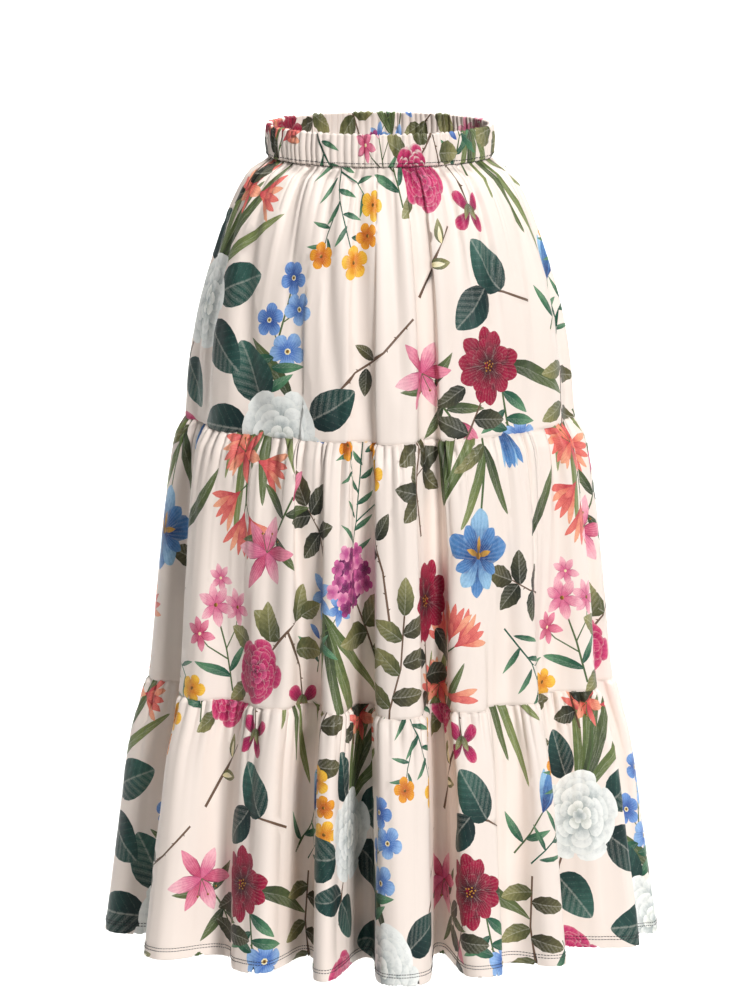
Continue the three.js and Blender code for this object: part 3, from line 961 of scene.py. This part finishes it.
GROUND = (243, 229, 219)
STRIPS = 3
OUTER_STRIP = 0.25
INNER_STRIP = 0.0833
STRIP_MARGIN = 14.0
STRIP_FILL = 0.96
STRIP_EDGE = 0.02


def bake_places(flat, triangles, box, start, strip_height):
    """Places in the baked picture: the cloth in three strips above one another."""
    left, right, low, high = box
    strip_width = (right - left) / STRIPS
    corners = flat[triangles]
    strip = np.clip(((corners[:, :, 0].mean(axis=1) - left) / strip_width).astype(int), 0, STRIPS - 1)
    from_x = left + strip * strip_width - STRIP_MARGIN
    u = (corners[:, :, 0] - from_x[:, None]) / (strip_width + 2 * STRIP_MARGIN)
    v = (corners[:, :, 1] - low) / (high - low) * (strip_height * STRIP_FILL) + STRIP_EDGE * strip_height
    v = v + start + strip[:, None] * strip_height
    return np.stack((np.clip(u, 0.001, 0.999), v), axis=2)


def add_object(name, data):
    made = bpy.data.objects.new(name, data)
    bpy.context.scene.collection.objects.link(made)
    return made


def set_layer(mesh, name, kind, domain, values):
    layer = mesh.attributes.new(name, kind, domain)
    key = "color" if kind == "FLOAT_COLOR" else "vector"
    layer.data.foreach_set(key, np.ascontiguousarray(values, dtype=np.float32).ravel())


def make_cloth(name, width, cuts, rows, column_step, surface_of):
    """One sheet as a thin closed shell, cut flat and set in place, with its print."""
    low, high = min(rows), max(rows)
    columns = spaced(PANEL_END, width - PANEL_END, column_step)
    flat, triangles, top_shape = flat_mesh(cuts, low, high, columns, rows)
    shapes = [one for cut in cuts for one in cut[2]]
    point, normal = surface_of(flat[:, 0], flat[:, 1])
    count = len(flat)
    verts = np.vstack((point + normal * CLOTH / 2, point - normal * CLOTH / 2)) * MM
    ways = np.vstack((triangles[:, [0, 1]], triangles[:, [1, 2]], triangles[:, [2, 0]]))
    edges = np.sort(ways, axis=1)
    _, first, times = np.unique(edges[:, 0] * count + edges[:, 1], return_index=True, return_counts=True)
    rim = ways[first[times == 1]]
    rim_of = np.tile(np.arange(len(triangles)), 3)[first[times == 1]]
    faces = np.vstack((triangles, triangles[:, ::-1] + count,
                       np.column_stack((rim[:, 1], rim[:, 0], rim[:, 0] + count)),
                       np.column_stack((rim[:, 1], rim[:, 0] + count, rim[:, 1] + count))))
    source = np.concatenate((np.arange(len(triangles)), np.arange(len(triangles)), rim_of, rim_of))
    mesh = bpy.data.meshes.new(name)
    mesh.vertices.add(len(verts))
    mesh.vertices.foreach_set("co", verts.ravel())
    mesh.loops.add(faces.size)
    mesh.loops.foreach_set("vertex_index", faces.ravel().astype(np.int32))
    mesh.polygons.add(len(faces))
    mesh.polygons.foreach_set("loop_start", np.arange(0, faces.size, 3, dtype=np.int32))
    inner, outer, origin, long_way, wide_way, kinds, bends = ink_tables(shapes)
    shape_of = np.where(top_shape >= 0, top_shape, len(shapes))[source]
    off = flat[faces % count] - origin[shape_of][:, None, :]
    a = (off * long_way[shape_of][:, None, :]).sum(axis=2)
    b = (off * wide_way[shape_of][:, None, :]).sum(axis=2) - bends[shape_of][:, None] * a**2
    kind = np.repeat(kinds[shape_of][:, None], 3, axis=1)
    set_layer(mesh, "ink_base", "FLOAT_COLOR", "FACE", inner[shape_of])
    set_layer(mesh, "ink_tip", "FLOAT_COLOR", "FACE", outer[shape_of])
    set_layer(mesh, "ink_place", "FLOAT_VECTOR", "CORNER", np.stack((a, b, kind), axis=2))
    set_layer(mesh, "cloth", "FLOAT_VECTOR", "POINT",
              np.tile(np.column_stack((flat, np.zeros(count))), (2, 1)))
    bake = mesh.uv_layers.new(name="OFBake")
    box = (flat[:, 0].min(), flat[:, 0].max(), flat[:, 1].min(), flat[:, 1].max())
    outer_uv = bake_places(flat, triangles, box, 0.0, OUTER_STRIP)
    inner_uv = bake_places(flat, triangles[:, ::-1], box, STRIPS * OUTER_STRIP, INNER_STRIP)
    rim_uv = bake_places(flat, faces[2 * len(triangles):] % count, box, 0.0, OUTER_STRIP)
    bake.data.foreach_set("uv", np.vstack((outer_uv, inner_uv, rim_uv)).ravel())
    mesh.materials.append(right_side)
    mesh.materials.append(wrong_side)
    side = np.zeros(len(faces), dtype=np.int32)
    side[len(triangles):2 * len(triangles)] = 1
    mesh.polygons.foreach_set("material_index", side)
    mesh.polygons.foreach_set("use_smooth", np.ones(len(faces), dtype=bool))
    mesh.update()
    mesh.validate()
    mesh.normals_split_custom_set_from_vertices(np.vstack((normal, -normal)))
    made = add_object(name, mesh)
    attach(made, "root")
    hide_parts(name)
    (high - low) * MM


class Term:
    """A value in a material, which takes the signs of arithmetic."""

    def __init__(self, nodes, socket):
        self.nodes = nodes
        self.socket = socket

    def __add__(self, other):
        return self.nodes.maths("ADD", self, other)

    def __sub__(self, other):
        return self.nodes.maths("SUBTRACT", self, other)

    def __rsub__(self, other):
        return self.nodes.maths("SUBTRACT", other, self)

    def __mul__(self, other):
        return self.nodes.maths("MULTIPLY", self, other)

    def __truediv__(self, other):
        return self.nodes.maths("DIVIDE", self, other)

    def __pow__(self, other):
        return self.nodes.maths("POWER", self, other)


class Nodes:
    """Short ways to lay out a material."""

    def __init__(self, name):
        self.material = bpy.data.materials.new(name)
        self.material.use_nodes = True
        self.tree = self.material.node_tree
        self.shader = self.tree.nodes["Principled BSDF"]

    def node(self, kind, **settings):
        made = self.tree.nodes.new(kind)
        for key, value in settings.items():
            setattr(made, key, value)
        return made

    def put(self, inputs, values):
        """Sets or links the inputs of a node, by name or number."""
        for key, value in values.items():
            value = value.socket if isinstance(value, Term) else value
            if isinstance(value, bpy.types.NodeSocket):
                self.tree.links.new(value, inputs[key])
            else:
                inputs[key].default_value = value

    def maths(self, operation, *values):
        made = self.node("ShaderNodeMath", operation=operation)
        self.put(made.inputs, dict(enumerate(values)))
        return Term(self, made.outputs[0])

    def mix(self, share, one, other):
        made = self.node("ShaderNodeMix", data_type="RGBA")
        self.put(made.inputs, {0: share, 6: one, 7: other})
        return made.outputs[2]

    def noise(self, place, scale, detail):
        made = self.node("ShaderNodeTexNoise")
        self.put(made.inputs, {"Vector": place, "Scale": scale, "Detail": detail})
        return Term(self, made.outputs[0])


# Drawing of the print: how its inks run and lighten, with the veins of leaves and the rays of petals
INK_CLOUDS = 0.7
LEAF_VEINS = 7.0
VEIN_SLANT = 1.9
PALE_VEIN = 0.14
DARK_VEIN = 1.8
MIDRIB_NARROW = 12.0
MIDRIB = 0.5
HALF_LEAF_TONE = 0.07
PETAL_RAYS = 17.0
RAY_TONE = -0.2
RIM_NARROW = 7.0
INK_GRAIN = 0.55
PALE_INK = (0.92, 0.88, 0.78, 1)
DEEP_INK = (0.02, 0.015, 0.02, 1)


def printed_material(name, fade):
    """Printed cloth: every shape runs from one ink to another, with veins; `fade` pales it."""
    n = Nodes(name)
    base, tip, place, cloth = [n.node("ShaderNodeAttribute", attribute_name=layer).outputs
                               for layer in ("ink_base", "ink_tip", "ink_place", "cloth")]
    parts = n.node("ShaderNodeSeparateXYZ")
    n.put(parts.inputs, {0: place["Vector"]})
    a, b, kind = [Term(n, part) for part in parts.outputs]
    clouds = n.noise(cloth["Vector"], 0.16, 3.0) - 0.5
    grain = (n.noise(cloth["Vector"], 0.7, 4.0) - 0.5) * INK_GRAIN
    spread = n.node("ShaderNodeMapRange", interpolation_type="SMOOTHSTEP")
    n.put(spread.inputs, {0: a + clouds * INK_CLOUDS, 1: 0.08, 2: 0.95})
    colour = n.mix(spread.outputs[0], base["Color"], tip["Color"])
    far = n.maths("ABSOLUTE", b)
    is_leaf = n.maths("COMPARE", kind, LEAF, 0.3)
    is_petal = n.maths("COMPARE", kind, PETAL, 0.3)
    inner_a = n.maths("MINIMUM", n.maths("MAXIMUM", a, 0.02), 0.98)
    petal_form = n.maths("SINE", inner_a**1.5 * math.pi)**0.5
    to_rim = n.maths("MINIMUM", far / petal_form, 1.1)
    rim = n.maths("MAXIMUM", to_rim, inner_a**2.0)**RIM_NARROW
    lift = rim * is_petal * ((Term(n, tip["Alpha"]) - 0.5) * 2.0)
    half_tone = n.maths("SIGN", b) * (is_leaf * HALF_LEAF_TONE)
    midrib = 1.0 - n.maths("MINIMUM", far * MIDRIB_NARROW, 1.0)
    comb = n.maths("ABSOLUTE", n.maths("FRACT", a * LEAF_VEINS - far * VEIN_SLANT) - 0.5)
    side_vein = n.maths("MAXIMUM", 1.0 - comb * 6.0, 0.0)
    dark_vein = n.maths("MAXIMUM", comb - 0.36, 0.0)
    leaf_lines = n.maths("MAXIMUM", midrib * MIDRIB, side_vein * PALE_VEIN) - dark_vein * DARK_VEIN
    rays = n.maths("SINE", b / (a + 0.35) * PETAL_RAYS)
    petal_lines = rays * (1.0 - a * 0.7) * RAY_TONE
    lines = (leaf_lines * is_leaf + petal_lines * is_petal) * Term(n, base["Alpha"])
    inked = n.maths("MINIMUM", is_leaf + is_petal, 1.0)
    light = lift + lines + grain * inked + half_tone
    colour = n.mix(n.maths("MAXIMUM", light, 0.0) * 0.6, colour, PALE_INK)
    colour = n.mix(n.maths("MAXIMUM", light * -1.0, 0.0), colour, DEEP_INK)
    if fade:
        colour = n.mix(fade, colour, (*screen_to_light(GROUND), 1))
    weave = n.node("ShaderNodeBump")
    n.put(weave.inputs, {"Strength": 0.06, "Distance": 0.0004, "Height": n.noise(cloth["Vector"], 2.4, 1.0)})
    n.put(n.shader.inputs, {"Base Color": colour, "Roughness": 0.48, "Sheen Weight": 0.05,
                            "Sheen Roughness": 0.4, "Specular IOR Level": 0.32, "Normal": weave.outputs[0]})
    return n.material


def plain_material(name, colour, roughness):
    n = Nodes(name)
    shade = n.noise(n.node("ShaderNodeTexCoord").outputs["Object"], 40.0, 2.0)
    light = screen_to_light(colour)
    colour = n.mix(shade, (*light * 0.94, 1), (*light, 1))
    n.put(n.shader.inputs, {"Base Color": colour, "Roughness": roughness})
    return n.material


right_side = printed_material("printed cloth", 0.0)
wrong_side = printed_material("printed cloth, wrong side", 0.6)
thread_dark = plain_material("dark thread", (40, 37, 43), 0.7)

# Rows of points on a panel: how far they lie below its top seam, then above its foot and past it
ROWS_IN_SEAM = (-4.0, -1.5, -0.6)
ROWS_BELOW_SEAM = (0.0, 1.2, 2.6, 4.4, 7.0, 10.0, 14.0, 18.5, 24.0, 30.0, 37.0, 45.0, 54.0)
ROWS_FROM, ROWS_UNTIL, ROW_STEP = 64.0, 14.0, 12.5
ROWS_ABOVE_FOOT = (14.0, 8.0, 4.0, 1.8)
ROWS_ROUND_HEM = (-0.5, 0.0, 0.5, 1.8, 6.0, HEM_TURN)
COLUMN_STEP = 4.4
BAND_COLUMN_STEP = 2.4

# Panels: top, bottom, whether in front, seed of the gathers, and where the print starts
TIERS = (
    ("tier1_front", WAIST + SEAM_GAP, SEAM_ONE, True, 11, (70, 246)),
    ("tier1_back", WAIST + SEAM_GAP, SEAM_ONE, False, 12, (300, 246)),
    ("tier2_front", SEAM_ONE, SEAM_TWO, True, 21, (200, 490)),
    ("tier2_back", SEAM_ONE, SEAM_TWO, False, 22, (140, 60)),
    ("tier3_front", SEAM_TWO, HEM, True, 31, (150, 230)),
    ("tier3_back", SEAM_TWO, HEM, False, 32, (30, 380)),
)


def tier_rows(panel):
    """Heights of the rows of points on a panel: close at the seams and the hem."""
    rows = [-panel.allowance, *ROWS_IN_SEAM] if panel.allowance else []
    rows += ROWS_BELOW_SEAM
    rows += spaced(ROWS_FROM, panel.height - ROWS_UNTIL, ROW_STEP)[:-1]
    rows += [panel.height - row for row in ROWS_ABOVE_FOOT]
    rows += [panel.height + row for row in (ROWS_ROUND_HEM if panel.has_hem else (-SEAM_GAP,))]
    return rows


def make_tier(name, top, bottom, front, seed, shift):
    panel = Panel(name, top, bottom, front, seed)
    rows = [-row for row in tier_rows(panel)]
    shapes = print_over(panel.width, rows[-1], rows[0], *shift)
    make_cloth(name, panel.width, [(PANEL_END, panel.width - PANEL_END, shapes)], rows, COLUMN_STEP,
               lambda across, up: panel.surface(across, -up))
    return panel


SHIFTS = {row[0]: row[5] for row in TIERS}
panels = {row[0]: make_tier(*row) for row in TIERS}

# Waistband: one strip folded over a casing, drawn up in ribs, which are smaller where it is sewn
BAND_BOTTOM = WAIST - SEAM_GAP / 2
BAND_TOP = -15.0
BAND_FACE = BAND_BOTTOM - BAND_TOP
BAND_FOLD = 4.0
BAND_FOLD_STEPS = 6
BAND_ROWS = (0, 1.2, 2.6, 5, 9, 14, 20, 26, 31, 35)
BAND_WIDTH = 1060.0
BAND_HALF = 0.9
BAND_SEWN_HALF = 0.35
BAND_FREE_FROM = -0.8
BAND_FREE_OVER = 4
BAND_FILL = 1.2
BAND_FULL_FROM = -1.5
BAND_SWELL = 0.9
BAND_ROUND = 0.5
RIB_OUT = 2.5
RIB_SHARES = (0.02, 1.3)
RIB_SEWN = 0.25
RIB_TOP = 0.6
RIB_DOWN = 12.0
RIB_REACH = 1e6
band_ribs = gather_table(BAND_WIDTH, FINE_PITCH["waist"], 5)
band_swells = gather_table(BAND_WIDTH, SWELL_PITCH["waist"], 6)
band_start = LEFT_SIDE_FOLD * STEERS_A_FOLD + LOBE_MIDDLE
band_places, band_lengths = running_shares(0.0, band_start, band_start + STEERS)


def band_point(across, up):
    """The folded strip: up the outer face, over the top and down the inner face."""
    place = np.interp(1 - np.clip(across / BAND_WIDTH, 0, 1), band_lengths / band_lengths[-1], band_places)
    over = np.clip((up - BAND_FACE) / BAND_FOLD, 0, 1)
    height = np.where(up < BAND_FACE, up, np.where(over < 1, BAND_FACE, 2 * BAND_FACE + BAND_FOLD - up))
    turn = over * math.pi
    drop = BAND_BOTTOM - height
    middle, along = section(place, drop)
    out_way = outwards(along)
    rib, swell = [gather_out(table, across, np.full(len(across), RIB_DOWN), RIB_REACH)
                  for table in (band_ribs, band_swells)]
    free = smooth_rise(height - BAND_FREE_FROM, BAND_FREE_OVER)
    half = BAND_SEWN_HALF + (BAND_HALF - BAND_SEWN_HALF) * free
    half = half + RIB_OUT * np.clip(0.5 + 0.5 * rib, *RIB_SHARES) * (RIB_SEWN + (1 - RIB_SEWN) * free)
    fill = BAND_FILL * smooth_rise(height - BAND_FULL_FROM, BAND_FREE_OVER)
    out = half * np.cos(turn) + BAND_SWELL * swell + fill
    drop = drop - half * np.sin(turn) * BAND_ROUND - RIB_TOP * rib * np.sin(turn)
    middle = middle + out_way * out[:, None]
    return np.column_stack((middle, -drop)), np.column_stack((out_way * np.cos(turn)[:, None], np.sin(turn)))


def band_surface(across, up):
    return with_normals(band_point, across, up, NORMAL_STEP)


def make_waistband():
    """The strip, with the print of each panel of the top tier drawn in and run on to it."""
    high = 2 * BAND_FACE + BAND_FOLD
    rows = [*BAND_ROWS, BAND_FACE]
    folds = [BAND_FACE + BAND_FOLD * step / BAND_FOLD_STEPS for step in range(1, BAND_FOLD_STEPS)]
    rows = rows + folds + [high - row for row in rows[::-1]]
    middle = BAND_WIDTH / 2
    cuts = []
    for name, start, end in (("tier1_front", PANEL_END, middle),
                             ("tier1_back", middle, BAND_WIDTH - PANEL_END)):
        width = panels[name].width
        shapes = print_over(width, 0, high, *SHIFTS[name])
        for one in shapes:
            for key in ("points", "frame"):
                one[key] = one[key] * (middle / width, 1) + (start, 0)
        cuts.append((start, end, shapes))
    make_cloth("waistband", BAND_WIDTH, cuts, rows, BAND_COLUMN_STEP, band_surface)


make_waistband()

# Dark stitching: two rows at the foot of the waistband and two above the hem
STITCH = 2.7
STITCH_GAP = 0.45
STITCH_FORM = ((0.0, 0.0, False), (0.22, 0.9, True), (0.78, 0.9, True), (1.0, 0.0, False))
THREAD = 0.42
WAIST_ROWS = (0.7, 4.4)
HEM_ROWS = (9.3, 12.6)
STITCH_FACES = [(0, 1 + k, 1 + (k + 1) % 4) for k in range(4)]
STITCH_FACES += [(1 + k, 5 + k, 5 + (k + 1) % 4, 1 + (k + 1) % 4) for k in range(4)]
STITCH_FACES += [(9, 5 + (k + 1) % 4, 5 + k) for k in range(4)]


def stitch_row(surface_of, width, down):
    """Stitches along one row: each a short thread with pointed ends sunk in the cloth."""
    count = int(width / (STITCH + STITCH_GAP))
    starts = np.linspace(1, width - 1 - STITCH, count)
    verts = []
    for share, rise, is_thick in STITCH_FORM:
        across = starts + STITCH * share
        point, normal = surface_of(across, np.full(count, down))
        ahead, _ = surface_of(across + 0.2, np.full(count, down))
        side = np.cross(normal, unit(ahead - point))
        middle = point + normal * (CLOTH / 2 + THREAD * rise)
        if is_thick:
            verts.append(np.stack([middle + THREAD * (normal * up + side * out)
                                   for up, out in ((1, 0), (0, 1), (-1, 0), (0, -1))], axis=1))
        else:
            verts.append(middle[:, None, :])
    return np.concatenate(verts, axis=1)


def make_stitches(name, groups):
    verts = np.concatenate([group.reshape(-1, 3) for group in groups]) * MM
    faces = [[start + corner for corner in face]
             for start in range(0, len(verts), 10) for face in STITCH_FACES]
    mesh = bpy.data.meshes.new(name)
    mesh.from_pydata(verts.tolist(), [], faces)
    mesh.polygons.foreach_set("use_smooth", np.ones(len(faces), dtype=bool))
    mesh.materials.append(thread_dark)
    made = add_object(name, mesh)
    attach(made, "root")


make_stitches("waistband_stitches", [stitch_row(band_surface, BAND_WIDTH, up) for up in WAIST_ROWS])
for half in ("front", "back"):
    hem_panel = panels["tier3_" + half]
    make_stitches("hem_stitches_" + half, [
        stitch_row(hem_panel.surface, hem_panel.width, hem_panel.height - up) for up in HEM_ROWS])

# Studio, in metres, degrees and watts
FLOOR = -1.05
FLOOR_HALF = 24.0
KEY = {"left_of_front": -26, "above": 25, "strength": 2.8, "softness": 14}
BACKDROP_SIZE = (16.0, 13.4)
BACKDROP_SPREAD = 26
BACKDROP_PLACE = (0, 6.75, 2.2)
BACKDROP_POWER = 1600
WORLD_COLOUR = (1.0, 0.995, 0.985, 1)
WORLD_LIGHT = 0.15


def make_floor():
    mesh = bpy.data.meshes.new("floor")
    corners = ((-1, -1), (1, -1), (1, 1), (-1, 1))
    mesh.from_pydata([(x * FLOOR_HALF, y * FLOOR_HALF, FLOOR) for x, y in corners], [], [(0, 1, 2, 3)])
    mesh.materials.append(plain_material("pale floor", (216, 216, 214), 1.0))
    add_object("floor", mesh)


def soft_sun(name, left_of_front, above, strength, softness):
    """An even light from far away, `left_of_front` and `above` in degrees."""
    light = bpy.data.lights.new(name, "SUN")
    light.energy = strength
    light.angle = math.radians(softness)
    add_object(name, light).rotation_euler = (math.radians(90 - above), 0, -math.radians(left_of_front))


def backdrop_light():
    """A wide light over the floor behind the skirt, which keeps the ground of the picture white."""
    light = bpy.data.lights.new("backdrop light", "AREA")
    light.shape = "RECTANGLE"
    light.size, light.size_y = BACKDROP_SIZE
    light.spread = math.radians(BACKDROP_SPREAD)
    light.energy = BACKDROP_POWER
    add_object("backdrop light", light).location = BACKDROP_PLACE


make_floor()
soft_sun("key", **KEY)
backdrop_light()

scene = bpy.context.scene
world = bpy.data.worlds.new("studio")
world.use_nodes = True
world.node_tree.nodes["Background"].inputs[0].default_value = WORLD_COLOUR
world.node_tree.nodes["Background"].inputs[1].default_value = WORLD_LIGHT
scene.world = world
scene.view_settings.view_transform = "Standard"

camera_data = bpy.data.cameras.new("camera")
camera_data.lens = CAMERA_LENS
camera_data.clip_end = 100
camera = add_object("camera", camera_data)
camera.location = (CAMERA_SIDE, -CAMERA_BACK, CAMERA_UP)
camera.rotation_euler = (math.pi / 2 - CAMERA_PITCH, 0, 0)
scene.camera = camera
